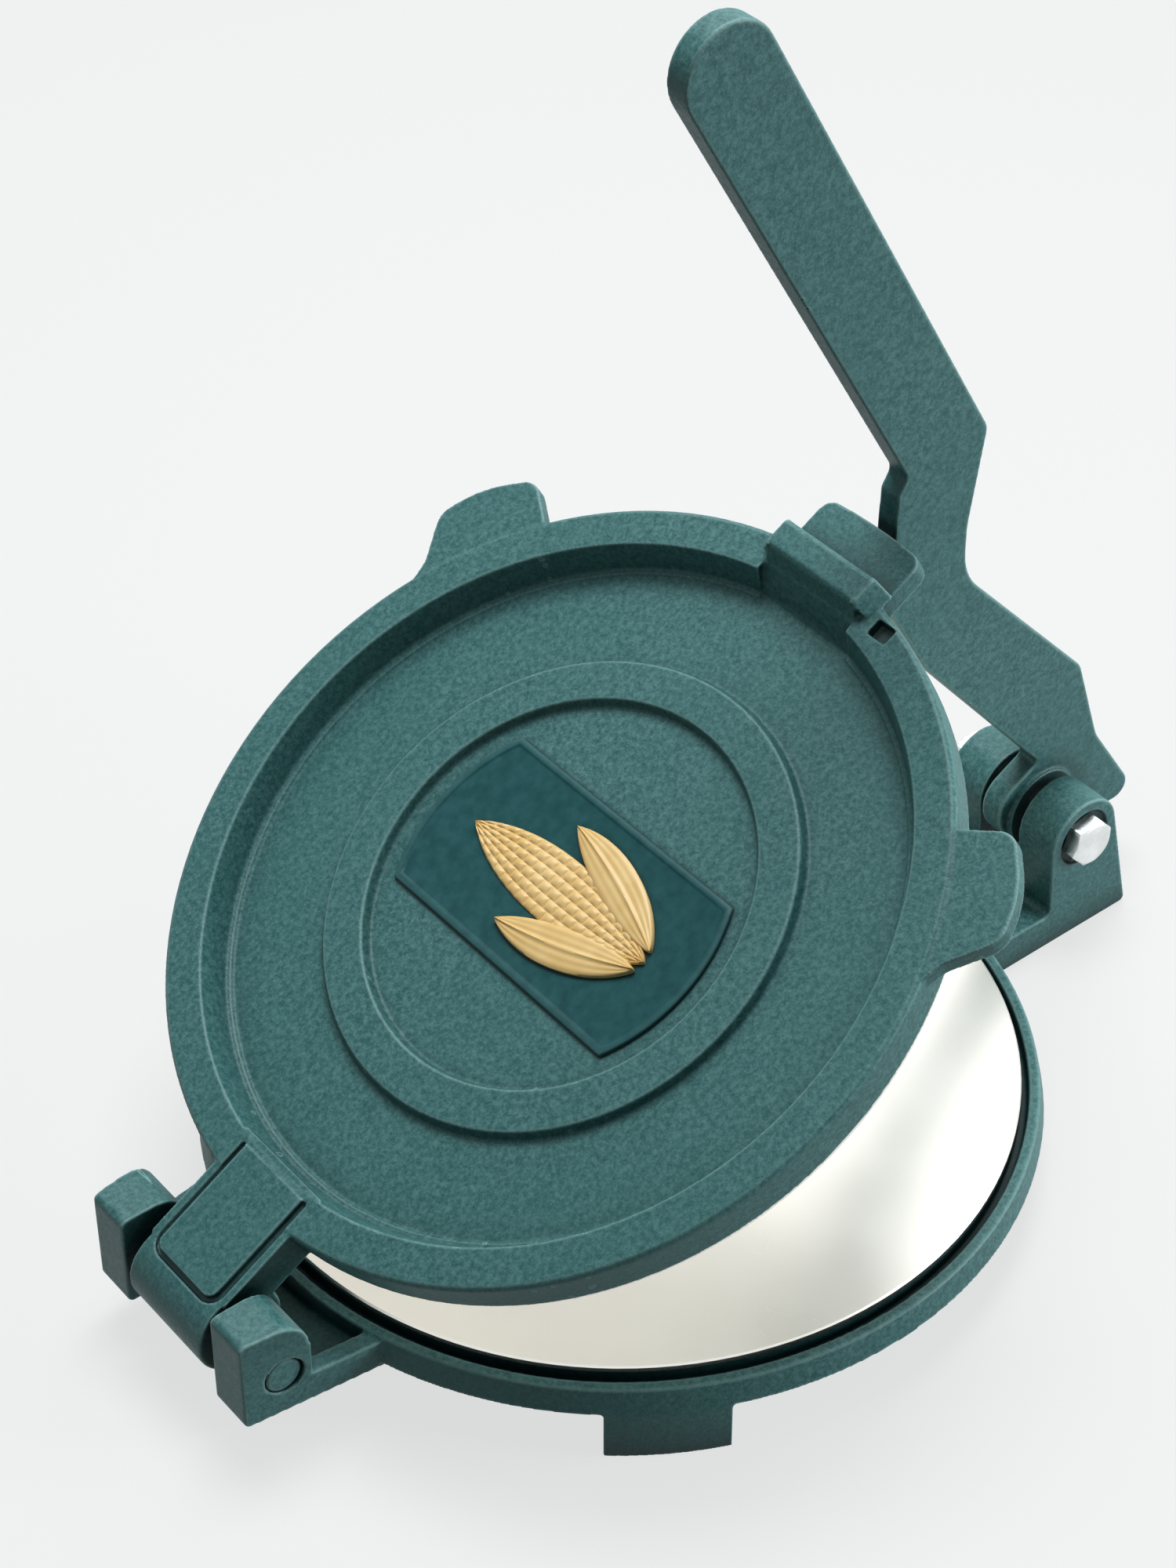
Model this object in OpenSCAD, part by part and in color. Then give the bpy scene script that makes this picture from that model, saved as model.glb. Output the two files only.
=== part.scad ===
// Hand press for flattening dough balls, lid propped open on its lever.
// Units: millimetres. +Z up, the lever at +X, the hinge at -X.
// Origin: centre of the pressing face of the base plate.

/* [Discs] */
// radius of the flat pressing plate on the base
plate_r = 102.5; // [95:0.5:110]
// height of the pressing surface above the table
press_z = 24.1; // [22:0.1:30]
// thickness of the pressing plate on the base
plate_t = 1.6; // [1:0.1:3]
// width of the raised flange round the base plate
base_flange_w = 3; // [2:0.5:6]
// outer radius of the lid at its upper edge
lid_r = 104; // [98:0.5:110]
// height of the lid rim above the pressing surface of the lid
lid_rim_h = 13.3; // [11:0.1:16]
// width of the flat top of the lid rim
lid_rim_w = 10.35; // [6:0.05:14]
// thickness of the pressing plate under the lid
lid_plate_t = 2.1; // [1:0.1:3]

/* [Lid] */
// angle of the lid above closed, in the resting position
lid_angle = 30.1; // [30.1:0.1:30.1]
// outer radius of the raised ring on the lid
ring_outer_r = 63; // [58:0.5:70]
// inner radius of the raised ring on the lid
ring_inner_r = 52.5; // [50:0.5:55]
// height of the raised ring above the lid floor
ring_h = 2.8; // [1:0.1:4]
// half width of the tongue that carries the knuckle
tongue_half_w = 15.6; // [14:0.1:18]
// radius of the hinge knuckle
knuckle_r = 11.6; // [9:0.1:12.4]

/* [Hinge and feet] */
// height of the hinge axis above the table
hinge_z = 24.5; // [24.4:0.1:26]
// distance from the disc centre to the hinge axis
hinge_x = 127; // [126:0.5:130]
// radius of the hinge pin
pin_r = 5; // [4:0.1:6]
// thickness of each hinge ear at its back face
hinge_ear_t = 12.4; // [8:0.1:14]
// height of the two foot tabs
foot_h = 14.4; // [12:0.1:16]

/* [Lever] */
// distance from the disc centre to the lever pivot
pivot_x = 145.5; // [145:0.5:150]
// height of the lever pivot above the table
pivot_z = 33.5; // [32:0.5:36]
// thickness of the flat bar of the lever
bar_t = 7; // [5:0.5:9]
// length of the lever's straight arm, from the knee to the centre of its round end
arm_len = 149.4; // [120:0.1:170]
// radius of the rounded free end of the lever
tip_r = 13; // [12:0.5:14]
// radius of the rounded top of each clevis ear
ear_top_r = 12; // [11:0.5:13]
// radius of the lever hub
hub_r = 12; // [10:0.5:14]
// thickness of the lever hub
hub_t = 9; // [7:0.5:13]
// thickness of each clevis ear
clevis_ear_t = 13.5; // [8:0.1:16]
// gap between the two clevis ears
clevis_gap = 15; // [13:0.5:18]
// radius of the pivot bolt
bolt_r = 4; // [3:0.5:5]
// distance across the flats of the bolt head and nut
hex_af = 13; // [10:1:17]

/* [Hidden] */
$fn = 96;
run_gap = 0.07;
merge = 0.3;
arc_n = 6;

// base casting
groove_w = 2;
base_in_r = plate_r + groove_w;
base_top_r = base_in_r + base_flange_w;
base_low_r = base_top_r + 1.5;
flange_z = press_z - 2.4;
seat_z = press_z - plate_t;
seat_r = plate_r - 0.5;
groove_z = seat_z - 4.3;
under_z = seat_z - 5.3;
under_r = base_low_r - 10;
rib_w = 8;
foot_angle = 123.2;
foot_half_angle = 8.1;
foot_in_r = base_low_r - 8;
foot_reach = base_low_r + 8;
under_step = 3.4;

// hinge
ear_in_y = tongue_half_w + 3.1;
ear_back_x = -hinge_x - 11;
ear_front_x = -hinge_x + 6.9;
ear_top_z = hinge_z + 15.5;
ear_low_z = hinge_z - 11.8;
ear_flare = 7.2;
web_top_z = flange_z - 0.5;
web_t = 5;
shelf_t = 4.5;
ear_round_r = 8.5;
pin_recess = 0.4;

// clevis
clevis_in_y = clevis_gap / 2;
clevis_out_y = clevis_in_y + clevis_ear_t;
spot_r = 8.5;
spot_d = 1.5;
clevis_web_z = 11;
clevis_end_x = pivot_x + 19.7;
head_h = 5.3;
hex_turn = 12;
nut_h = 6.5;
shank_tip = 2;

// lever, measured from its pivot; its cranked foot spans what is left beyond the disc
lever_k = (hinge_x + pivot_x) / 272.5;
knee = lever_k * [-45.4, 138.5];
arm_tilt = 29.55;
arm_side = tip_r * [cos(arm_tilt), sin(arm_tilt)];
arm_tip = knee + arm_len * [-sin(arm_tilt), cos(arm_tilt)];
neck_x = pivot_x - 61.8 * lever_k;
lean_gap = 2.6;

// lid, measured along the lid from the hinge axis (u) and up from it (w)
lid_face_w = 0.1;
lid_low_w = lid_face_w + lid_plate_t;
lid_low_r = lid_r - 0.3;
lid_plate_r = lid_r - 1.1;
lid_u = hinge_x - 0.5;
rim_in_r = lid_r - lid_rim_w;
floor_r = rim_in_r - 3.25;
floor_w = lid_low_w + 2;
ring_slope = 1.2;
step_h = 0.9;
step_w = 1.2;
knuckle_half_w = tongue_half_w - 0.6;
knuckle_up = 1.4;
knuckle_gap = 1.2;
tongue_w = knuckle_up + knuckle_r;
pad_half_w = 11.7;
pad_start_u = 0.6;
pad_end_u = 32;
pad_w = lid_rim_h + 0.5;
pad_groove = 1.4;
pad_round = 3;
lug_r = lid_r + 17.6;
lug_root_r = lid_r - 4;
lug_from = 47.6;
lug_to = 67.2;
lug_t = 4.8;
lug_top_w = lid_rim_h - 0.5;
nose_u = lid_u + 97.5;
nose_half_w = 16.3;
nose_w = lid_rim_h + 5.2;
ridge_t = 8.5;
ledge_under = 1.5;
ledge_half_w = 17.3;
ledge_low_w = 4;
ledge_top_w = 10;
ledge_end_u = (hinge_x + neck_x - lean_gap + (ledge_top_w - 1) * sin(lid_angle)) / cos(lid_angle);
pocket = [4.6, 6, 4];
pocket_y = 24.5;

// ornament on the lid
plaque_r = ring_inner_r - 5.5;
plaque_w = plaque_r;
plaque_t = 1.2;
relief_t = 1;
cob_len = 1.4 * plaque_r;
cob_w = 0.36 * plaque_r;
cob_groove = 1.2;
leaf_u = 9.5;
leaf_y = 12;
leaf_tilt = 16.7;
leaf_len = 0.9 * plaque_r;
leaf_w = 10;

green = [0.30, 0.45, 0.43];
steel = [0.80, 0.80, 0.76];
gold = [0.93, 0.80, 0.52];

// unit vector along v
function unit(v) = v / norm(v);

// points of the round at corner p = [x, y, radius] between neighbours a and b
function corner(p, a, b) =
    let (
        q = [p[0], p[1]],
        ua = unit([a[0], a[1]] - q),
        ub = unit([b[0], b[1]] - q),
        half = acos(ua * ub) / 2,
        c = q + unit(ua + ub) * p[2] / sin(half),
        s = q + ua * p[2] / tan(half) - c,
        e = q + ub * p[2] / tan(half) - c,
        s_deg = atan2(s[1], s[0]),
        turn = atan2(e[1], e[0]) - s_deg,
        sweep = turn > 180 ? turn - 360 : (turn < -180 ? turn + 360 : turn)
    )
    [for (i = [0 : arc_n]) c + p[2] * [cos(s_deg + sweep * i / arc_n), sin(s_deg + sweep * i / arc_n)]];

// outline with rounded corners from a list of [x, y, radius]
function rounded(pts) = [
    for (i = [0 : len(pts) - 1])
        each (pts[i][2] == 0 ? [[pts[i][0], pts[i][1]]]
            : corner(pts[i], pts[(i + len(pts) - 1) % len(pts)], pts[(i + 1) % len(pts)]))
];

// prism along Y from an outline in X and Z, between two values of y
module slab(y0, y1) {
    translate([0, y1, 0])
        rotate([90, 0, 0])
            linear_extrude(height = y1 - y0)
                children();
}

// round bar along Y
module y_bar(r, y0, y1) {
    translate([0, y1, 0])
        rotate([90, 0, 0])
            cylinder(r = r, h = y1 - y0);
}

// the same thing on both sides of the middle plane
module both_sides() {
    children();
    mirror([0, 1, 0])
        children();
}

// lens between two circle arcs, pointed at both ends along Y
module lens(len, wid) {
    r = (len * len + wid * wid) / (4 * wid);
    intersection() {
        translate([r - wid / 2, 0])
            circle(r = r);
        translate([wid / 2 - r, 0])
            circle(r = r);
    }
}

// puts a shape drawn up from the table at its height below the pressing face
module on_table() {
    translate([0, 0, -press_z])
        children();
}

// puts a shape drawn about the lever's pivot in its place
module at_pivot() {
    translate([pivot_x, 0, pivot_z - press_z])
        children();
}

// puts a shape drawn in lid measures at the lid's resting angle
module on_lid() {
    translate([-hinge_x, 0, hinge_z - press_z])
        rotate([0, -lid_angle, 0])
            children();
}

// disc of the base casting: flange, groove, seat and hollow underside
module base_disc() {
    rotate_extrude()
        polygon([
            [0, seat_z], [seat_r, seat_z], [seat_r, groove_z], [base_in_r, groove_z],
            [base_in_r, flange_z], [base_top_r, flange_z], [base_low_r, foot_h],
            [under_r, foot_h], [under_r, under_z], [0, under_z]
        ]);
}

// one foot tab standing under the base flange
module foot_tab() {
    intersection() {
        difference() {
            cylinder(r = base_low_r, h = foot_h + merge);
            translate([0, 0, -1])
                cylinder(r = foot_in_r, h = foot_h + 2);
        }
        rotate([0, 0, foot_angle])
            translate([0, 0, -1])
                linear_extrude(height = foot_h + 2)
                    polygon([
                        [0, 0],
                        [foot_reach * cos(foot_half_angle), -foot_reach * sin(foot_half_angle)],
                        [foot_reach * cos(foot_half_angle), foot_reach * sin(foot_half_angle)]
                    ]);
    }
}

// outer face of the hinge ears, which flare towards the disc
function ear_out_y(x) = ear_in_y + hinge_ear_t + (x - ear_back_x) * tan(ear_flare);

// one hinge ear with the web that joins it to the flange
module hinge_ear() {
    end_x = -base_low_r + 9;
    web_x = ear_front_x - 3;
    intersection() {
        slab(ear_in_y, base_low_r)
            polygon(rounded([
                [ear_back_x, ear_low_z, 1.5], [ear_front_x, ear_low_z, 0],
                [ear_front_x, ear_top_z, ear_round_r], [ear_back_x, ear_top_z, 2]
            ]));
        linear_extrude(height = ear_top_z + 1)
            polygon([
                [ear_back_x - 1, 0], [ear_back_x - 1, ear_out_y(ear_back_x - 1)],
                [ear_front_x + 1, ear_out_y(ear_front_x + 1)], [ear_front_x + 1, 0]
            ]);
    }
    translate([0, 0, ear_low_z])
        linear_extrude(height = web_top_z - ear_low_z)
            polygon([
                [web_x, ear_out_y(web_x) - web_t], [web_x, ear_out_y(web_x)],
                [end_x, ear_out_y(end_x)], [end_x, ear_out_y(end_x) - web_t]
            ]);
}

// shelf between the two webs, hollowed where the knuckle turns
module hinge_shelf() {
    end_x = -base_low_r + 9;
    back_x = ear_front_x - 1;
    difference() {
        translate([0, 0, ear_low_z])
            linear_extrude(height = shelf_t)
                polygon([
                    [back_x, ear_out_y(back_x) - web_t / 2], [back_x, web_t / 2 - ear_out_y(back_x)],
                    [end_x, web_t / 2 - ear_out_y(end_x)], [end_x, ear_out_y(end_x) - web_t / 2]
                ]);
        translate([-hinge_x, 0, hinge_z])
            y_bar(knuckle_r + knuckle_up + knuckle_gap, -ear_in_y, ear_in_y);
    }
}

// outline of one clevis ear and the rib that carries it under the disc
module clevis_outline() {
    slope_x = pivot_x + 11.6;
    slope_z = pivot_z + 3.1;
    polygon(rounded([
        [under_r - 15, foot_h, 0], [under_r + 9, 0, 0], [clevis_end_x, 0, 1.5],
        [slope_x, slope_z, 0], [pivot_x, pivot_z, 0], [pivot_x - ear_top_r, pivot_z, 0],
        [pivot_x - ear_top_r + 1.2, clevis_web_z, 2], [pivot_x - 31, clevis_web_z, 2],
        [base_low_r + 1, foot_h + 2.6, 0], [base_low_r - 6, foot_h + under_step, 0],
        [under_r - 15, foot_h + under_step, 0]
    ]));
    translate([pivot_x, pivot_z])
        circle(r = ear_top_r);
}

// ribs under the disc that join the hinge, the feet and the clevis
module under_ribs() {
    both_sides()
        translate([-under_r - 2, clevis_in_y + 1, foot_h])
            cube([2 * under_r + 4, rib_w, under_z - foot_h + merge]);
    foot_x = (foot_in_r + 2) * cos(foot_angle);
    foot_y = (foot_in_r + 2) * sin(foot_angle);
    translate([foot_x - rib_w / 2, -foot_y, foot_h])
        cube([rib_w, 2 * foot_y, under_z - foot_h + merge]);
}

module base() {
    color(green)
        on_table()
            difference() {
                union() {
                    base_disc();
                    under_ribs();
                    hinge_shelf();
                    both_sides() {
                        foot_tab();
                        hinge_ear();
                        slab(clevis_in_y, clevis_out_y)
                            clevis_outline();
                    }
                }
                translate([-hinge_x, 0, hinge_z])
                    y_bar(pin_r + run_gap, -base_low_r, base_low_r);
                translate([pivot_x, 0, pivot_z])
                    y_bar(bolt_r + run_gap, -clevis_out_y - 1, clevis_out_y + 1);
                both_sides()
                    translate([pivot_x, 0, pivot_z])
                        y_bar(spot_r, clevis_out_y - spot_d, clevis_out_y + 1);
            }
}

module base_plate() {
    chamfer = 0.4;
    color(steel)
        rotate_extrude()
            polygon([
                [0, -plate_t], [plate_r, -plate_t], [plate_r, -chamfer],
                [plate_r - chamfer, 0], [0, 0]
            ]);
}

module hinge_pin() {
    end_y = ear_out_y(-hinge_x) - pin_recess;
    chamfer = 0.6;
    color(green)
        translate([-hinge_x, 0, hinge_z - press_z])
            rotate([90, 0, 0])
                rotate_extrude()
                    polygon([
                        [0, -end_y], [pin_r - chamfer, -end_y], [pin_r, chamfer - end_y],
                        [pin_r, end_y - chamfer], [pin_r - chamfer, end_y], [0, end_y]
                    ]);
}

// round body of the lid: rim, recess and raised ring
module lid_disc() {
    ring_w = floor_w + ring_h;
    translate([lid_u, 0, 0])
        rotate_extrude()
            polygon([
                [0, lid_low_w], [lid_low_r, lid_low_w], [lid_r, lid_rim_h - 1],
                [lid_r - 1, lid_rim_h], [rim_in_r, lid_rim_h], [floor_r + 0.4, floor_w + step_h],
                [floor_r + 0.4 - step_w, floor_w + step_h], [floor_r - step_w, floor_w],
                [ring_outer_r + ring_slope, floor_w], [ring_outer_r, ring_w],
                [ring_inner_r, ring_w], [ring_inner_r - ring_slope, floor_w], [0, floor_w]
            ]);
}

// one side lug of the lid
module lug() {
    function polar(r, a, k) = [r * cos(a), r * sin(a), k];
    translate([lid_u, 0, lug_top_w - lug_t])
        linear_extrude(height = lug_t)
            polygon(rounded([
                polar(lug_root_r, lug_from, 0), polar(lug_r - 3.4, lug_from + 1.6, 5),
                polar(lug_r - 0.4, (lug_from + lug_to) / 2 - 1, 30),
                polar(lug_r - 2.2, lug_to - 4.6, 7), polar(lid_r + 3, lug_to - 0.6, 5),
                polar(lid_r - 1.5, lug_to + 3, 0), polar(lug_root_r, lug_to, 0)
            ]));
}

// raised ridge and ledge that the lever presses and leans on
module nose() {
    ridge_end_u = nose_u + ridge_t;
    foot_u = lid_u + floor_r - 1;
    slab(-nose_half_w, nose_half_w)
        polygon([
            [foot_u, floor_w - merge], [nose_u, nose_w - 1], [nose_u + 1, nose_w],
            [ridge_end_u - 1, nose_w], [ridge_end_u, nose_w - 1],
            [ridge_end_u, floor_w - merge]
        ]);
    both_sides()
        translate([nose_u, 0, 0])
            rotate([90, 0, 90])
                linear_extrude(height = ridge_t)
                    polygon([
                        [nose_half_w - 1, lid_rim_h - 1], [nose_half_w + 3.5, lid_rim_h - 1],
                        [nose_half_w, nose_w - 1], [nose_half_w - 1, nose_w]
                    ]);
    intersection() {
        translate([0, 0, ledge_low_w])
            linear_extrude(height = ledge_top_w - ledge_low_w)
                polygon(rounded([
                    [nose_u + 2, -ledge_half_w, 0], [ledge_end_u - 1, -ledge_half_w, 4],
                    [ledge_end_u, 0, 150], [ledge_end_u - 1, ledge_half_w, 4],
                    [nose_u + 2, ledge_half_w, 0]
                ]));
        slab(-ledge_half_w - 1, ledge_half_w + 1)
            polygon([
                [nose_u, ledge_low_w - 1], [ledge_end_u - ledge_under, ledge_low_w - 1],
                [ledge_end_u - ledge_under, ledge_low_w], [ledge_end_u, ledge_top_w - 1],
                [ledge_end_u, ledge_top_w + 1], [nose_u, ledge_top_w + 1]
            ]);
    }
}

// tongue from the rim to the knuckle
module tongue() {
    translate([2, -tongue_half_w, lid_low_w])
        cube([lid_u - rim_in_r, 2 * tongue_half_w, tongue_w - lid_low_w]);
    translate([0, 0, knuckle_up])
        y_bar(knuckle_r, -knuckle_half_w, knuckle_half_w);
}

// outline of the raised pad on the tongue, grown by a margin
module pad_outline(margin) {
    start_u = pad_start_u - margin;
    side_y = pad_half_w + margin;
    polygon(rounded([
        [start_u, -side_y, pad_round + margin], [pad_end_u, -side_y, 0],
        [pad_end_u, side_y, 0], [start_u, side_y, pad_round + margin]
    ]));
}

module lid() {
    foot_u = lid_u + floor_r - 1;
    color(green)
        on_lid()
            difference() {
                union() {
                    difference() {
                        union() {
                            lid_disc();
                            tongue();
                            both_sides()
                                lug();
                        }
                        slab(-nose_half_w, nose_half_w)
                            polygon([
                                [foot_u - 6, floor_w], [foot_u, floor_w], [nose_u + 1, nose_w + 1],
                                [foot_u - 6, nose_w + 1]
                            ]);
                        translate([0, 0, tongue_w - 1])
                            linear_extrude(height = 4)
                                pad_outline(pad_groove);
                    }
                    nose();
                    translate([0, 0, tongue_w - 1 - merge])
                        linear_extrude(height = pad_w - tongue_w + 1 + merge)
                            pad_outline(0);
                }
                translate([nose_u - 2.6, -pocket_y - pocket[1] / 2, lid_rim_h - 3])
                    cube(pocket);
                y_bar(pin_r + run_gap, -knuckle_half_w - 1, knuckle_half_w + 1);
            }
}

module lid_plate() {
    chamfer = 0.4;
    color(steel)
        on_lid()
            translate([lid_u, 0, 0])
                rotate_extrude()
                    polygon([
                        [0, lid_face_w], [lid_plate_r - chamfer, lid_face_w],
                        [lid_plate_r, lid_face_w + chamfer], [lid_plate_r, lid_low_w],
                        [0, lid_low_w]
                    ]);
}

module badge_plaque() {
    color(green)
        on_lid()
            translate([lid_u, 0, floor_w])
                linear_extrude(height = plaque_t)
                    intersection() {
                        circle(r = plaque_r);
                        square([plaque_w, 2 * plaque_r + 2], center = true);
                    }
}

// plain ear of grain in its two husk leaves, standing on the plaque
module badge_relief() {
    color(gold)
        on_lid()
            translate([lid_u, 0, floor_w + plaque_t])
                linear_extrude(height = relief_t)
                    union() {
                        difference() {
                            lens(cob_len, cob_w);
                            for (k = [-1, 0, 1])
                                translate([k * cob_w / 4, 0])
                                    square([cob_groove, cob_len], center = true);
                        }
                        for (side = [0, 1])
                            mirror([side, 0, 0])
                                translate([leaf_u, -leaf_y])
                                    rotate([0, 0, -leaf_tilt])
                                        lens(leaf_len, leaf_w);
                    }
}

// flat side view of the lever, measured from its pivot
module lever_outline() {
    foot = [
        [-58.7, 136.5, 3], [-61.6, 131.8, 3], [-62.9, 97.5, 7], [-48.5, 71.9, 25],
        [-2.1, 16.7, 1.5], [-15.7, 9.4, 8.5], [-16, 0, 12], [-5, -14.2, 10],
        [39.2, -14.2, 4.5], [20.6, 14.8, 20], [11.3, 43.6, 8], [-36.6, 96.4, 20],
        [-36.6, 112, 20], [-32, 140.5, 5]
    ];
    polygon(rounded([
        [arm_tip[0] - arm_side[0], arm_tip[1] - arm_side[1], 0],
        each foot * lever_k,
        [arm_tip[0] + arm_side[0], arm_tip[1] + arm_side[1], 0]
    ]));
    translate(arm_tip)
        circle(r = tip_r);
    circle(r = hub_r);
}

module lever() {
    color(green)
        at_pivot()
            difference() {
                union() {
                    slab(-bar_t / 2, bar_t / 2)
                        lever_outline();
                    y_bar(hub_r, -hub_t / 2, hub_t / 2);
                }
                y_bar(bolt_r + run_gap, -clevis_gap, clevis_gap);
            }
}

// hexagon bar along Y
module hex_bar(y0, y1) {
    translate([0, y1, 0])
        rotate([90, 0, 0])
            rotate([0, 0, hex_turn])
                cylinder(r = hex_af / sqrt(3), h = y1 - y0, $fn = 6);
}

module lever_bolt() {
    seat_y = clevis_out_y - spot_d;
    color(steel)
        at_pivot() {
            intersection() {
                hex_bar(-seat_y - head_h, -seat_y);
                rotate([90, 0, 0])
                    rotate_extrude()
                        polygon([
                            [0, seat_y - 1], [hex_af, seat_y - 1], [hex_af, seat_y + head_h - 3.3],
                            [hex_af / 2 - 0.3, seat_y + head_h], [0, seat_y + head_h]
                        ]);
            }
            y_bar(bolt_r, -seat_y - merge, seat_y + nut_h + shank_tip);
        }
}

module lever_nut() {
    seat_y = clevis_out_y - spot_d;
    color(steel)
        at_pivot()
            difference() {
                hex_bar(seat_y, seat_y + nut_h);
                y_bar(bolt_r, seat_y - 1, seat_y + nut_h + 1);
            }
}

base();
base_plate();
hinge_pin();
lid();
lid_plate();
badge_plaque();
badge_relief();
lever();
lever_bolt();
lever_nut();
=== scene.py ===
# Dresses the hand press: rounded castings, polished plates, bolt, nut and badge.
import math

import bmesh
import bpy
from mathutils import Matrix, Vector


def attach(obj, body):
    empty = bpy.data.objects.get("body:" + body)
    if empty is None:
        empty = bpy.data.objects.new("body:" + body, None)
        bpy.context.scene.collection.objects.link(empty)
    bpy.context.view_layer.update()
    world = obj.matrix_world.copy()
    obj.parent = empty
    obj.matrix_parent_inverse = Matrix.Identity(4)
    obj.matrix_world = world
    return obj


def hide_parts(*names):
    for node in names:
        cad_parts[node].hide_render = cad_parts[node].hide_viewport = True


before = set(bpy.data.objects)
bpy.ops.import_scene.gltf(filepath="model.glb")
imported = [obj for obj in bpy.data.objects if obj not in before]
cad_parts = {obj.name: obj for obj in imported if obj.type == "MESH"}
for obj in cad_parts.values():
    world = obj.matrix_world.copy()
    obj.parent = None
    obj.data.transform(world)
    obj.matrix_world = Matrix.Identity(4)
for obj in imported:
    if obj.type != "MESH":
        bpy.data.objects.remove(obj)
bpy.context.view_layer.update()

MM = 0.001
PHOTO_W, PHOTO_H = 1500, 2000
TABLE_Z = -24.1

# camera fitted to the photograph, in pixels, degrees and millimetres
FOCAL_PX = 4504.85
AXIS_PX = (910, 700)
AZIMUTH, ELEVATION, ROLL = -40.897, 36.300, 1.314
AIM = (0, -0.4, -4.1)
OFFSET = (23.17, 134.26)
DISTANCE = 910.79

# frame of the lid, measured along it from the hinge axis
HINGE = Vector((-127, 0, 0.4)) * MM
LID_ANGLE = math.radians(30.1)
LID_U = Vector((math.cos(LID_ANGLE), 0, math.sin(LID_ANGLE)))
LID_N = Vector((-math.sin(LID_ANGLE), 0, math.cos(LID_ANGLE)))
LID_CENTRE_U = 126.5
LID_FLOOR_W = 4.2

# lever pivot and its fasteners
PIVOT = Vector((145.5, 0, 9.4)) * MM
SEAT_Y = 19.5
HEX_AF = 13
HEX_TURN = 12
HEAD_H = 5.3
NUT_H = 6.5
SHANK_R = 4
THREAD_PITCH = 1.25
THREAD_DEPTH = 0.6
THREAD_FROM_Y = 8
SHANK_TIP = 2
TAPER_LENGTH = 1.1
TAPER_SLOPE = 0.7
HEX_STEPS, SHANK_STEPS, SHANK_RINGS = 96, 48, 230
KEEP_CRISP = 34

# badge
PLAQUE_R = 47
PLAQUE_HALF_W = 23.5
PLAQUE_T = 1.2
FIELD_W = 0.85
RELIEF_FOOT_W = 0.6
EAR_LENGTH, EAR_WIDTH = 66, 17
KERNEL_ROWS, KERNELS_PER_ROW = 6, 19
LEAF_LENGTH, LEAF_WIDTH = 42.5, 10.5
LEAF_SPOT = (9, -12)
LEAF_TILT = 16.7
LEAF_BEND = 1.4

# green coat, with painted shade in corners and a painted highlight on edges
PAINTED_SHADE = (0.002, 0.020, 0.022)
PAINTED_EDGE_HIGHLIGHT = (0.260, 0.470, 0.460)

# studio: what the world and the floor give to the object, and what is seen of them
AMBIENT = 0.10
BACKDROP = (0.940, 0.955, 0.955, 1)
FLOOR_SIZE = 6
FLOOR_WHITE_SHARE = 0.74
FLOOR_BOUNCE = (0.14, 0.14, 0.14)


# ---------- materials ----------

class Nodes:
    """A material's node tree with short calls to add and join nodes."""

    def __init__(self, name):
        self.material = bpy.data.materials.new(name)
        self.material.use_nodes = True
        self.tree = self.material.node_tree
        self.shader = self.tree.nodes["Principled BSDF"]

    def add(self, kind, **values):
        node = self.tree.nodes.new("ShaderNode" + kind)
        for key, value in values.items():
            setattr(node, key, value)
        return node

    def join(self, out_socket, in_socket):
        self.tree.links.new(out_socket, in_socket)

    def place(self):
        return self.add("TexCoord").outputs["Object"]

    def noise(self, place, scale, detail=2, roughness=0.5):
        node = self.add("TexNoise")
        node.inputs["Scale"].default_value = scale
        node.inputs["Detail"].default_value = detail
        node.inputs["Roughness"].default_value = roughness
        self.join(place, node.inputs["Vector"])
        return node.outputs["Fac"]

    def ramp(self, value, stops):
        node = self.add("ValToRGB")
        elements = node.color_ramp.elements
        while len(elements) < len(stops):
            elements.new(0.5)
        for element, (at, colour) in zip(elements, stops):
            element.position = at
            element.color = (*colour, 1)
        self.join(value, node.inputs["Fac"])
        return node.outputs["Color"]

    def remap(self, value, low, high, to_low, to_high):
        node = self.add("MapRange")
        node.inputs["From Min"].default_value = low
        node.inputs["From Max"].default_value = high
        node.inputs["To Min"].default_value = to_low
        node.inputs["To Max"].default_value = to_high
        self.join(value, node.inputs["Value"])
        return node.outputs["Result"]

    def mix(self, share, first, second):
        """Colour mix; each value is a socket, a number or a colour."""
        node = self.add("Mix", data_type="RGBA")
        factor, low, high = node.inputs[0], node.inputs[6], node.inputs[7]
        for socket, value in ((factor, share), (low, first), (high, second)):
            if isinstance(value, tuple):
                socket.default_value = (*value, 1)
            elif isinstance(value, (int, float)):
                socket.default_value = value
            else:
                self.join(value, socket)
        return node.outputs[2]

    def sum(self, first, second, weight):
        node = self.add("Math", operation="MULTIPLY_ADD")
        self.join(second, node.inputs[0])
        node.inputs[1].default_value = weight
        self.join(first, node.inputs[2])
        return node.outputs[0]

    def bump(self, height, strength, distance):
        node = self.add("Bump")
        node.inputs["Strength"].default_value = strength
        node.inputs["Distance"].default_value = distance
        self.join(height, node.inputs["Height"])
        self.join(node.outputs["Normal"], self.shader.inputs["Normal"])

    def set(self, **values):
        for key, value in values.items():
            self.shader.inputs[key.replace("_", " ")].default_value = value

    def colour(self, socket):
        self.join(socket, self.shader.inputs["Base Color"])

    def rough(self, socket):
        self.join(socket, self.shader.inputs["Roughness"])


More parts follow.
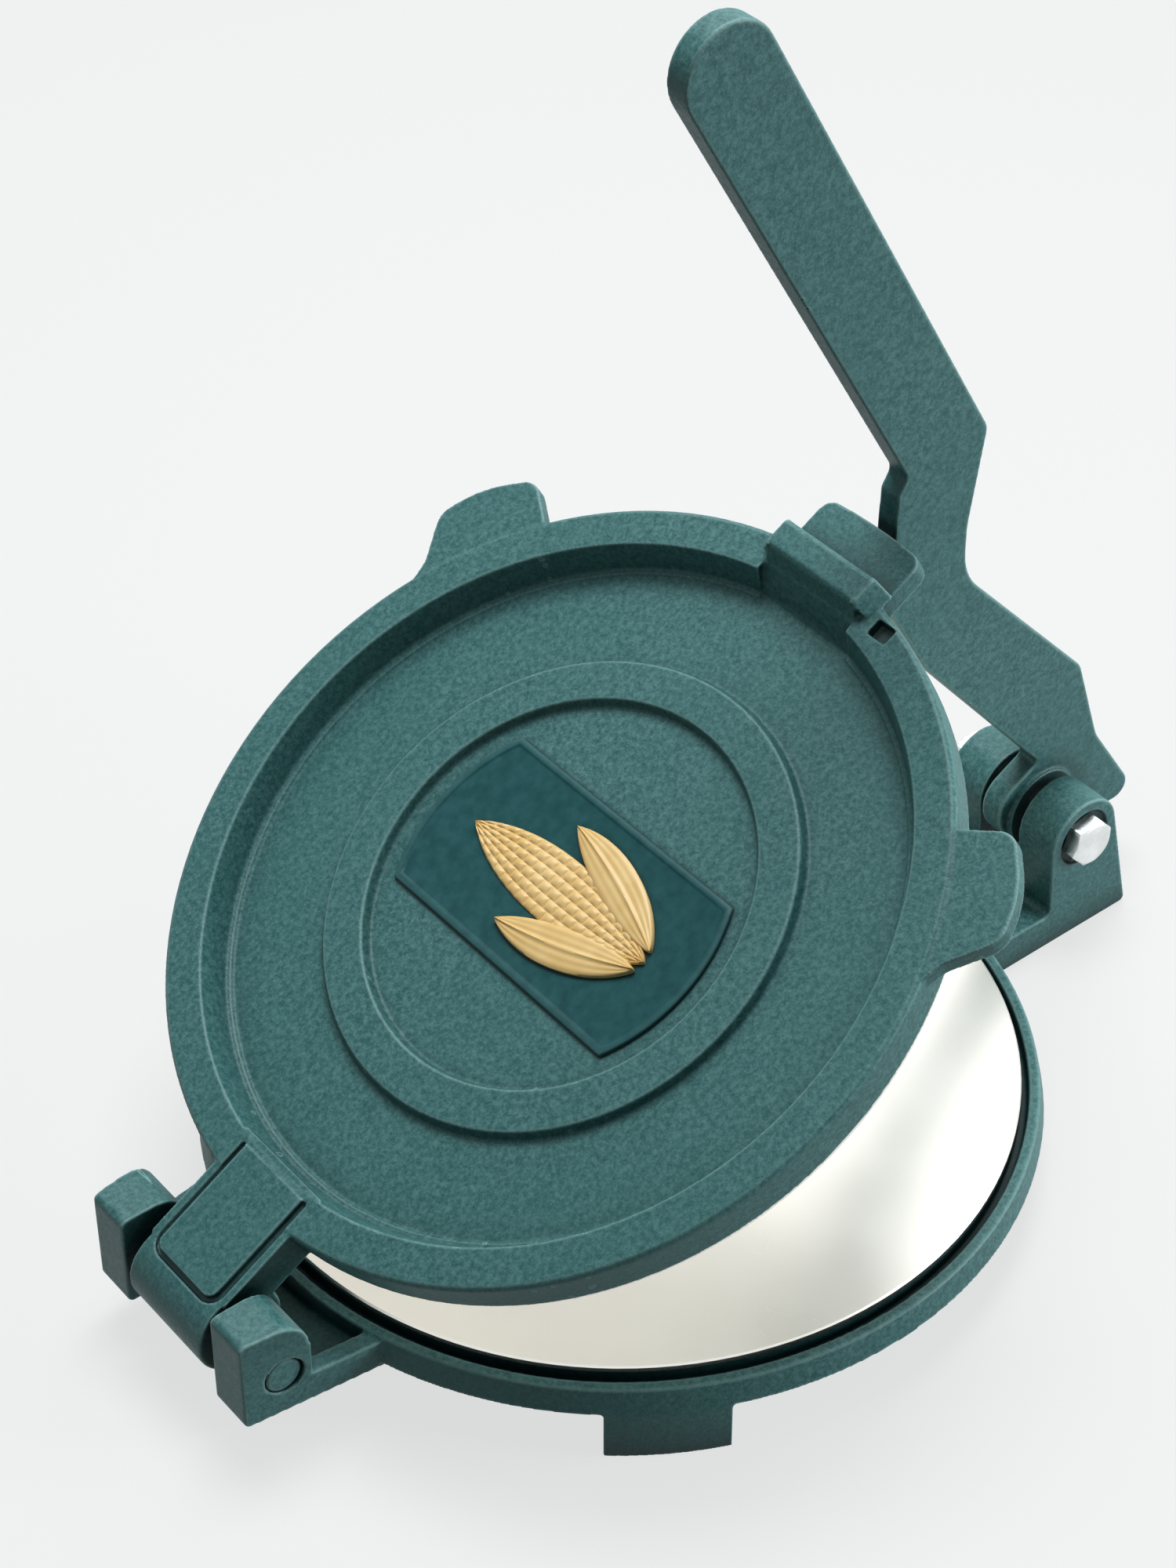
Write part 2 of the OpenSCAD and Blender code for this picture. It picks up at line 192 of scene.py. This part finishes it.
def casting_paint():
    """Hammered green coat, with a painted highlight on its edges and painted shade in its corners
    and recesses.
    """
    n = Nodes("green_powder_coat")
    at = n.place()
    grain = n.noise(at, 1500, 2, 0.6)
    mottle = n.noise(at, 700, 3, 0.65)
    cloud = n.noise(at, 20, 2)
    base = n.ramp(mottle, [
        (0.32, (0.012, 0.085, 0.088)),
        (0.50, (0.043, 0.145, 0.147)),
        (0.68, (0.092, 0.226, 0.228)),
    ])
    base = n.mix(n.remap(grain, 0.50, 0.72, 0, 0.5), base, (0.120, 0.290, 0.290))
    base = n.mix(n.remap(cloud, 0.35, 0.65, 0, 0.22), base, (0.030, 0.140, 0.135))
    # painted highlight: a lighter green mixed onto convex edges, picked out by pointiness
    edge = n.add("NewGeometry").outputs["Pointiness"]
    black, most = (0, 0, 0), (0.8, 0.8, 0.8)
    edge_highlight = n.ramp(edge, [(0.508, black), (0.56, most), (0.60, most), (0.63, black)])
    base = n.mix(edge_highlight, base, PAINTED_EDGE_HIGHLIGHT)
    # painted shade: the colour is darkened toward a near-black green where ambient occlusion finds
    # corners, creases and recess walls
    for distance, open_from, open_to in ((0.016, 0.50, 0.85), (0.003, 0.50, 0.88)):
        occlusion = n.add("AmbientOcclusion", samples=6)
        occlusion.inputs["Distance"].default_value = distance
        base = n.mix(n.remap(occlusion.outputs["AO"], open_from, open_to, 0.9, 0), base, PAINTED_SHADE)
    n.colour(base)
    n.rough(n.remap(mottle, 0.3, 0.7, 0.40, 0.56))
    n.bump(n.sum(mottle, grain, 0.6), 0.6, 0.00015)
    n.set(Specular_IOR_Level=0.28)
    return n.material


def plaque_paint():
    """Smoother, bluer green, with a painted highlight on its edges and painted shade where it meets
    the relief.
    """
    n = Nodes("plaque_green")
    mottle = n.noise(n.place(), 300, 2)
    base = n.ramp(mottle, [(0.3, (0.008, 0.066, 0.074)), (0.7, (0.020, 0.102, 0.110))])
    # painted highlight: a lighter green mixed onto convex edges by pointiness
    edge = n.add("NewGeometry").outputs["Pointiness"]
    base = n.mix(n.remap(edge, 0.52, 0.60, 0, 0.6), base, (0.150, 0.300, 0.300))
    # painted shade: near-black green where ambient occlusion finds the foot of the relief
    occlusion = n.add("AmbientOcclusion", samples=6)
    occlusion.inputs["Distance"].default_value = 0.0025
    n.colour(n.mix(n.remap(occlusion.outputs["AO"], 0.45, 0.9, 0.9, 0), base, (0.001, 0.010, 0.012)))
    n.rough(n.remap(mottle, 0.3, 0.7, 0.44, 0.52))
    n.bump(n.noise(n.place(), 900, 2), 0.25, 0.0001)
    n.set(Specular_IOR_Level=0.15)
    return n.material


def gold_paint():
    """Pale gold with a soft sheen."""
    n = Nodes("pale_gold")
    at = n.place()
    cloud = n.noise(at, 120, 2)
    n.colour(n.ramp(cloud, [(0.3, (0.80, 0.54, 0.19)), (0.7, (0.90, 0.66, 0.29))]))
    n.rough(n.remap(cloud, 0.3, 0.7, 0.34, 0.44))
    n.bump(n.noise(at, 1300, 2), 0.2, 0.00008)
    n.set(Specular_IOR_Level=0.5)
    return n.material


def polished_steel():
    """Warm, softly mirroring pressing face."""
    n = Nodes("polished_plate")
    at = n.place()
    cloud = n.noise(at, 22, 2)
    n.colour(n.ramp(cloud, [(0.3, (0.83, 0.815, 0.76)), (0.7, (0.87, 0.855, 0.81))]))
    n.rough(n.remap(cloud, 0.3, 0.7, 0.27, 0.31))
    n.bump(n.noise(at, 160, 2), 0.02, 0.0002)
    n.set(Metallic=1.0)
    return n.material


def zinc():
    """Bright zinc of the bolt and the nut."""
    n = Nodes("bright_zinc")
    at = n.place()
    cloud = n.noise(at, 260, 3)
    n.colour(n.ramp(cloud, [(0.3, (0.72, 0.75, 0.76)), (0.7, (0.86, 0.88, 0.88))]))
    n.rough(n.remap(cloud, 0.3, 0.7, 0.24, 0.36))
    n.bump(n.noise(at, 900, 2), 0.15, 0.0001)
    n.set(Metallic=1.0)
    return n.material


# ---------- mesh helpers ----------

def new_piece(name, bm, material, smooth=True):
    mesh = bpy.data.meshes.new(name)
    bm.to_mesh(mesh)
    bm.free()
    mesh.materials.append(material)
    piece = bpy.data.objects.new(name, mesh)
    bpy.context.scene.collection.objects.link(piece)
    if smooth:
        mesh.polygons.foreach_set("use_smooth", [True] * len(mesh.polygons))
    return piece


def casting(node, name, body, material, voxel, rounds, keep):
    """Copy of a solid with its edges and corners rounded as a casting's are."""
    bm = bmesh.new()
    bm.from_mesh(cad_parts[node].data)
    bmesh.ops.remove_doubles(bm, verts=bm.verts, dist=1e-6)
    piece = new_piece(name, bm, material)
    grid = piece.modifiers.new("grid", "REMESH")
    grid.mode = "VOXEL"
    grid.voxel_size = voxel * MM
    grid.use_smooth_shade = True
    soft = piece.modifiers.new("soft", "SMOOTH")
    soft.factor = 0.5
    soft.iterations = rounds
    thin = piece.modifiers.new("thin", "DECIMATE")
    thin.ratio = keep
    flat = piece.modifiers.new("flat", "WEIGHTED_NORMAL")
    flat.weight = 100
    flat.keep_sharp = False
    graph = bpy.context.evaluated_depsgraph_get()
    mesh = bpy.data.meshes.new_from_object(piece.evaluated_get(graph))
    piece.modifiers.clear()
    piece.data = mesh
    mesh.materials.clear()
    mesh.materials.append(material)
    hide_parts(node)
    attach(piece, body)
    return piece


def join_rings(bm, low, high):
    """Band of quads between two rings of vertices."""
    for i in range(len(low)):
        j = (i + 1) % len(low)
        bm.faces.new((low[i], low[j], high[j], high[i]))


def skin(bm, rings):
    """Closed form through rings of points, with a face on the first and the last."""
    rows = [[bm.verts.new(p) for p in ring] for ring in rings]
    for low, high in zip(rows, rows[1:]):
        join_rings(bm, low, high)
    bm.faces.new(rows[0][::-1])
    bm.faces.new(rows[-1])


def pivot_ring(y, radius_at, steps):
    """Ring of points round the lever pivot at y, with a radius for each angle in degrees."""
    ring = []
    for i in range(steps):
        angle = 360 * i / steps
        r = radius_at(angle)
        a = math.radians(angle)
        ring.append(PIVOT + Vector((r * math.cos(a), y, r * math.sin(a))) * MM)
    return ring


def hex_radius(angle):
    """Distance from the axis to the hexagon's side in this direction."""
    side = (angle - HEX_TURN) % 60 - 30
    return HEX_AF / 2 / math.cos(math.radians(side))


def hex_limited(limit):
    """Radius of the hexagon, cut by the cone whose radius at this height is limit."""
    return lambda angle: min(hex_radius(angle), limit)


def bolt_head(bm):
    """Hexagon head, from its bearing washer to its chamfered top."""
    corner = HEX_AF / math.sqrt(3)
    flat = HEX_AF / 2
    cut_from = HEAD_H - 1.1
    head = [(0, 6.1), (0.35, 6.2), (0.36, corner), (1, corner), (cut_from, corner)]
    head += [(cut_from + 0.22 * i, corner - 0.38 * i + 0.1) for i in range(1, 4)]
    head += [(HEAD_H - 0.12, flat - 0.35), (HEAD_H, flat - 0.75)]
    skin(bm, [pivot_ring(-SEAT_Y - h, hex_limited(r), HEX_STEPS) for h, r in head])


def bolt_shank(bm):
    """Shank with a rolled thread that shows beyond the nut."""
    end_y = SEAT_Y + NUT_H + SHANK_TIP
    rings = []
    for k in range(SHANK_RINGS + 1):
        y = -SEAT_Y + (end_y + SEAT_Y) * k / SHANK_RINGS
        taper = TAPER_SLOPE * max(0.0, TAPER_LENGTH - (end_y - y))

        def radius_at(angle, y=y, taper=taper):
            if y < THREAD_FROM_Y:
                return SHANK_R
            turn = (y / THREAD_PITCH - angle / 360) % 1
            return SHANK_R - THREAD_DEPTH * abs(2 * turn - 1) - taper
        rings.append(pivot_ring(y, radius_at, SHANK_STEPS))
    skin(bm, rings)


def bolt_piece(material):
    """Pivot bolt: head and shank."""
    bm = bmesh.new()
    bolt_head(bm)
    bolt_shank(bm)
    bmesh.ops.recalc_face_normals(bm, faces=bm.faces)
    piece = new_piece("pivot_bolt", bm, material)
    edges_by_angle(piece, KEEP_CRISP)
    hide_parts("lever_bolt")
    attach(piece, "base")


def nut_piece(material):
    """Nut chamfered on both faces, with a countersunk bore."""
    corner = HEX_AF / math.sqrt(3)
    flat = HEX_AF / 2
    cut = [(0, flat - 0.45), (0.25, flat - 0.05), (0.55, corner - 0.42), (0.85, corner)]
    heights = cut + [(NUT_H - h, r) for h, r in reversed(cut)]
    bm = bmesh.new()
    outer = [pivot_ring(SEAT_Y + h, hex_limited(r), HEX_STEPS) for h, r in heights]
    mouth = SHANK_R + 0.55
    bore = [(NUT_H, mouth), (NUT_H - 0.5, SHANK_R), (0.5, SHANK_R), (0, mouth)]
    inner = [pivot_ring(SEAT_Y + h, lambda angle, r=r: r, HEX_STEPS) for h, r in bore]
    rows = [[bm.verts.new(p) for p in ring] for ring in outer + inner]
    for low, high in zip(rows, rows[1:] + rows[:1]):
        join_rings(bm, low, high)
    bmesh.ops.recalc_face_normals(bm, faces=bm.faces)
    piece = new_piece("pivot_nut", bm, material)
    edges_by_angle(piece, KEEP_CRISP)
    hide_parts("lever_nut")
    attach(piece, "base")


def edges_by_angle(piece, degrees):
    """Smooth shading with the edges sharper than this angle kept crisp."""
    mesh = piece.data
    bm = bmesh.new()
    bm.from_mesh(mesh)
    limit = math.radians(degrees)
    for edge in bm.edges:
        edge.smooth = len(edge.link_faces) != 2 or edge.calc_face_angle(0) < limit
    bm.to_mesh(mesh)
    bm.free()


def on_lid(u, y, w):
    """World point from lid measures about the disc centre, w above the lid's floor."""
    return HINGE + (LID_U * (LID_CENTRE_U + u) + Vector((0, y, 0)) + LID_N * (LID_FLOOR_W + w)) * MM


def plaque_outline(inset):
    """Barrel outline: two arcs joined by straight sides."""
    r = PLAQUE_R - inset
    half = PLAQUE_HALF_W - inset
    reach = math.degrees(math.asin(half / r))
    steps = 24
    points = []
    for side in (1, -1):
        for i in range(steps + 1):
            a = math.radians(side * 90 + reach - 2 * reach * i / steps)
            points.append((r * math.cos(a), r * math.sin(a)))
        straight = points[-1]
        low = -straight[1]
        for i in range(1, 12):
            points.append((straight[0], straight[1] + (low - straight[1]) * i / 12))
    return points


def plaque_piece(material):
    """Barrel-shaped field with a soft edge and a thin raised border."""
    profile = [
        (0, -0.2), (0, 0.75), (0.12, 1.02), (0.4, PLAQUE_T),
        (1.5, PLAQUE_T), (1.75, 1.1), (2.0, 0.9), (2.4, FIELD_W),
    ]
    bm = bmesh.new()
    rings = [[on_lid(u, y, w) for u, y in plaque_outline(inset)] for inset, w in profile]
    skin(bm, rings)
    bmesh.ops.recalc_face_normals(bm, faces=bm.faces)
    piece = new_piece("badge_field", bm, material)
    edges_by_angle(piece, 60)
    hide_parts("badge_plaque")
    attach(piece, "lid")


def blade(bm, across, along, centre, tilt, size, bend, height_at):
    """Pointed relief form as a closed grid: its top is height_at(s, t) above the field."""
    cos_t, sin_t = math.cos(math.radians(tilt)), math.sin(math.radians(tilt))
    length, width = size

    def share(i, j):
        """Place across and along the blade, from -1 to 1, just short of the points."""
        return 2 * i / across - 1, max(-0.998, min(0.998, 2 * j / along - 1))

    def point(s, t, w):
        half = width / 2 * max(0.0, 1 - abs(t) ** 2.2) ** 0.8
        v = t * length / 2
        x = s * half + bend * (1 - t * t)
        return on_lid(centre[0] + x * cos_t - v * sin_t, centre[1] + x * sin_t + v * cos_t, w)

    top = {}
    for i in range(across + 1):
        for j in range(along + 1):
            s, t = share(i, j)
            top[i, j] = bm.verts.new(point(s, t, FIELD_W + height_at(s, t)))
    rim = [(i, 0) for i in range(across)] + [(across, j) for j in range(along)]
    rim += [(i, along) for i in range(across, 0, -1)] + [(0, j) for j in range(along, 0, -1)]
    low = {k: bm.verts.new(point(*share(*k), RELIEF_FOOT_W)) for k in rim}
    for i in range(across):
        for j in range(along):
            bm.faces.new((top[i, j], top[i + 1, j], top[i + 1, j + 1], top[i, j + 1]))
    for a, b in zip(rim, rim[1:] + rim[:1]):
        bm.faces.new((top[a], top[b], low[b], low[a]))
    bm.faces.new([low[k] for k in rim])


def ear_height(s, t):
    """Rounded cob with rows of kernels."""
    row = (s + 1) / 2 * KERNEL_ROWS
    shift = 0.5 if int(row) % 2 else 0
    kernel = (t + 1) / 2 * KERNELS_PER_ROW + shift
    bump = abs(math.sin(math.pi * row)) ** 0.6 * abs(math.sin(math.pi * kernel)) ** 0.6
    return (0.35 + 0.65 * math.sqrt(max(0, 1 - s * s))) * 0.8 + 0.55 * bump


def leaf_height(s, t):
    """Leaf with a midrib and faint veins."""
    rib = 0.35 * math.exp(-(s / 0.10) ** 2)
    veins = 0.06 * math.cos(16 * s)
    return 1.0 + 0.6 * math.sqrt(max(0, 1 - s * s)) + rib + veins


def relief_piece(material):
    """Ear of maize between two husk leaves."""
    bm = bmesh.new()
    blade(bm, 60, 266, (0, 0), 0, (EAR_LENGTH, EAR_WIDTH), 0, ear_height)
    leaf_u, leaf_y = LEAF_SPOT
    for side in (1, -1):
        blade(bm, 24, 60, (side * leaf_u, leaf_y), -side * LEAF_TILT,
              (LEAF_LENGTH, LEAF_WIDTH), side * LEAF_BEND, leaf_height)
    bmesh.ops.recalc_face_normals(bm, faces=bm.faces)
    piece = new_piece("badge_ear_and_leaves", bm, material)
    edges_by_angle(piece, 55)
    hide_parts("badge_relief")
    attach(piece, "lid")


def dress(node, material):
    """Gives a carried-over solid its finish."""
    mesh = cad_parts[node].data
    mesh.materials.clear()
    mesh.materials.append(material)


# ---------- studio ----------

def seen_rays(tree):
    """One for camera, glossy and transmission rays, else zero."""
    path = tree.nodes.new("ShaderNodeLightPath")
    total = path.outputs["Is Camera Ray"]
    for name in ("Is Glossy Ray", "Is Transmission Ray"):
        node = tree.nodes.new("ShaderNodeMath")
        node.operation = "MAXIMUM"
        tree.links.new(total, node.inputs[0])
        tree.links.new(path.outputs[name], node.inputs[1])
        total = node.outputs[0]
    return total


def floor_material():
    """Pale floor, part of it plain white where it is seen, that throws little light back up."""
    n = Nodes("pale_floor")
    cloud = n.noise(n.place(), 0.8, 1)
    pale = n.ramp(cloud, [(0.3, (0.64, 0.645, 0.645)), (0.7, (0.655, 0.66, 0.66))])
    n.colour(n.mix(seen_rays(n.tree), FLOOR_BOUNCE, pale))
    n.set(Roughness=0.9, Specular_IOR_Level=0.1)
    glow = n.add("Emission")
    glow.inputs["Color"].default_value = BACKDROP
    share = n.add("Math", operation="MULTIPLY")
    n.join(seen_rays(n.tree), share.inputs[0])
    share.inputs[1].default_value = FLOOR_WHITE_SHARE
    mix = n.add("MixShader")
    n.join(share.outputs[0], mix.inputs["Fac"])
    n.join(n.shader.outputs[0], mix.inputs[1])
    n.join(glow.outputs[0], mix.inputs[2])
    n.join(mix.outputs[0], n.tree.nodes["Material Output"].inputs["Surface"])
    return n.material


def surroundings():
    """Even soft light on the object, and a pale backdrop where the world is seen."""
    world = bpy.data.worlds.new("studio")
    bpy.context.scene.world = world
    world.use_nodes = True
    tree = world.node_tree
    tree.nodes.clear()
    out = tree.nodes.new("ShaderNodeOutputWorld")
    mix = tree.nodes.new("ShaderNodeMixShader")
    ambient = tree.nodes.new("ShaderNodeBackground")
    seen = tree.nodes.new("ShaderNodeBackground")
    ambient.inputs["Strength"].default_value = AMBIENT
    seen.inputs["Color"].default_value = BACKDROP
    tree.links.new(seen_rays(tree), mix.inputs["Fac"])
    tree.links.new(ambient.outputs[0], mix.inputs[1])
    tree.links.new(seen.outputs[0], mix.inputs[2])
    tree.links.new(mix.outputs[0], out.inputs["Surface"])


def lamp(name, spot, target, width, depth, power, spread=180):
    """Soft rectangular lamp at spot, turned to target, in metres, watts and degrees."""
    data = bpy.data.lights.new(name, "AREA")
    data.shape = "RECTANGLE"
    data.size, data.size_y = width, depth
    data.energy = power
    data.spread = math.radians(spread)
    light = bpy.data.objects.new(name, data)
    light.location = spot
    light.rotation_mode = "QUATERNION"
    light.rotation_quaternion = (Vector(target) - light.location).to_track_quat("-Z", "Y")
    bpy.context.scene.collection.objects.link(light)


def studio():
    """Floor, surroundings, a key lamp above, a low fill and a card for the plates to mirror."""
    bm = bmesh.new()
    bmesh.ops.create_grid(bm, x_segments=1, y_segments=1, size=FLOOR_SIZE)
    for vert in bm.verts:
        vert.co.z = TABLE_Z * MM
    floor = new_piece("floor", bm, floor_material(), smooth=False)
    surroundings()
    lamp("overhead", (0.22, 0.30, 1.35), (0, 0, 0.05), 0.8, 0.6, 18.5)
    lamp("fill", (1.20, -1.10, 0.42), (0.10, 0, 0.12), 0.8, 0.5, 5.1, spread=90)
    lamp("card", (2.95, 1.76, 2.0), (2.42, 1.15, 1.41), 2.6, 2.2, 23.2)


def camera():
    """Camera at the photograph's angle, placed by the fitted values."""
    a, e, r = (math.radians(v) for v in (AZIMUTH, ELEVATION, ROLL))
    back = Vector((math.sin(a) * math.cos(e), -math.cos(a) * math.cos(e), math.sin(e)))
    right = Vector((math.cos(a), math.sin(a), 0))
    up = right.cross(-back)
    across = right * math.cos(r) + up * math.sin(r)
    upward = up * math.cos(r) - right * math.sin(r)
    spot = Vector(AIM) + across * OFFSET[0] + upward * OFFSET[1] + back * DISTANCE
    data = bpy.data.cameras.new("camera")
    data.lens = FOCAL_PX * data.sensor_width / PHOTO_H
    data.shift_x = (PHOTO_W / 2 - AXIS_PX[0]) / PHOTO_H
    data.shift_y = (AXIS_PX[1] - PHOTO_H / 2) / PHOTO_H
    data.clip_start, data.clip_end = 0.05, 20
    cam = bpy.data.objects.new("camera", data)
    cam.rotation_mode = "QUATERNION"
    turn = Matrix((across, upward, back)).transposed()
    cam.rotation_quaternion = turn.to_quaternion()
    cam.location = spot * MM
    bpy.context.scene.collection.objects.link(cam)
    bpy.context.scene.camera = cam


# ---------- the press ----------

def press():
    green = casting_paint()
    steel = polished_steel()
    bright = zinc()
    for node, name, body, voxel, rounds, keep in (
        ("base", "base_casting", "base", 0.45, 4, 0.25),
        ("lid", "lid_casting", "lid", 0.42, 4, 0.25),
        ("lever", "lever_casting", "lever", 0.45, 5, 0.3),
        ("hinge_pin", "hinge_pin_rod", "hinge_pin", 0.35, 3, 0.5),
    ):
        casting(node, name, body, green, voxel, rounds, keep)
    dress("base_plate", steel)
    dress("lid_plate", steel)
    bolt_piece(bright)
    nut_piece(bright)
    plaque_piece(plaque_paint())
    relief_piece(gold_paint())


press()
studio()
camera()
bpy.context.scene.view_settings.view_transform = "Standard"
